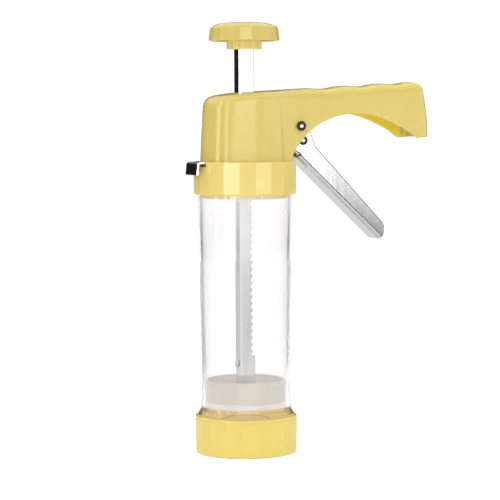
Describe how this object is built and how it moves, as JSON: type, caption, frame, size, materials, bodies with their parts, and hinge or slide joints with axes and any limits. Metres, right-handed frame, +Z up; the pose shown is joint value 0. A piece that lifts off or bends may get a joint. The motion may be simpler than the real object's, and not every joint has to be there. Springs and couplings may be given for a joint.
{
  "type": "cookie press",
  "caption": "Hand-held cookie press with a clear barrel, a squeeze lever that drives a toothed rod and piston down, a pull-up knob, a release plate and a screw ring holding a pattern disc.",
  "frame": {"origin": "centre of the bounding box's base, on the plane that the base ring stands on", "axes": "+Z up along the barrel, from the base ring to the knob; +X towards the handle; +Y across the press"},
  "size_m": [0.155, 0.0628, 0.2654],
  "materials": {
    "body_plastic": "smooth glossy moulded plastic, pale yellow",
    "ring_plastic": "smooth satin moulded plastic, pale yellow, faceted",
    "knob_plastic": "smooth glossy moulded plastic, pale yellow, faceted",
    "clear_plastic": "clear transparent moulded plastic",
    "piston_plastic": "milky plastic, slightly translucent",
    "seal_plastic": "soft milky white plastic",
    "white_plastic": "white satin plastic",
    "lever_steel": "brushed sheet steel",
    "rod_steel": "bright rolled and punched steel channel",
    "polished_steel": "polished steel",
    "fastener_steel": "plain zinc-plated steel"
  },
  "bodies": {
    "body": {"body_shell": "body_plastic", "collar": "body_plastic", "collar_screw_1": "fastener_steel", "collar_screw_2": "fastener_steel", "collar_screw_3": "fastener_steel", "collar_screw_4": "fastener_steel", "rod_guide": "white_plastic", "pivot_rivet": "polished_steel", "lever_spring": "fastener_steel", "plate_spring": "fastener_steel"},
    "rod": {"toothed_rod": "rod_steel", "rod_foot": "white_plastic", "foot_rivet": "fastener_steel", "piston_cup": "piston_plastic", "piston_seal": "seal_plastic", "piston_washer": "fastener_steel", "piston_screw": "fastener_steel", "knob": "knob_plastic", "knob_pin": "fastener_steel"},
    "lever": {"trigger_lever": "lever_steel", "lever_rivet": "polished_steel", "pawl_pin": "fastener_steel"},
    "pawl": {"drive_pawl": "lever_steel"},
    "release_plate": {"release_plate": "polished_steel"},
    "barrel": {"barrel_tube": "clear_plastic"},
    "disc": {"pattern_disc": "white_plastic"},
    "ring": {"base_ring": "ring_plastic"}
  },
  "joints": [
    {"name": "rod_slide", "type": "slide", "parent": "body", "child": "rod", "axis": [0, 0, 1], "range_m": [-0.012, 0.105]},
    {"name": "lever_pivot", "type": "hinge", "parent": "body", "child": "lever", "pos_m": [-0.01101, 0, 0.2017], "axis": [0, -1, 0], "range_deg": [0, 39], "stiffness_Nm_per_rad": 0.25, "springref_deg": -22.92, "deforming": ["lever_spring"]},
    {"name": "pawl_pivot", "type": "hinge", "parent": "lever", "child": "pawl", "pos_m": [-0.02892, 0, 0.20804], "axis": [0, -1, 0], "range_deg": [-39, 0]},
    {"name": "plate_slide", "type": "slide", "parent": "body", "child": "release_plate", "axis": [1, 0, 0], "range_m": [0, 0.0018], "stiffness_N_per_m": 400, "springref_m": -0.002, "deforming": ["plate_spring"]},
    {"name": "barrel_turn", "type": "hinge", "parent": "body", "child": "barrel", "pos_m": [-0.04221, 0, 0.16], "axis": [0, 0, -1], "range_deg": [0, 45]},
    {"name": "disc_drop", "type": "slide", "parent": "barrel", "child": "disc", "axis": [0, 0, -1], "range_m": [0, 0.016]},
    {"name": "ring_turn", "type": "hinge", "parent": "disc", "child": "ring", "pos_m": [-0.04221, 0, 0], "axis": [0, 0, -1], "range_deg": [0, 361]}
  ],
  "couplings": [
    {"joint": "pawl_pivot", "follows": "lever_pivot", "ratio": -1},
    {"joint": "ring_turn", "follows": "disc_drop", "rad_per_m": 392.7}
  ]
}
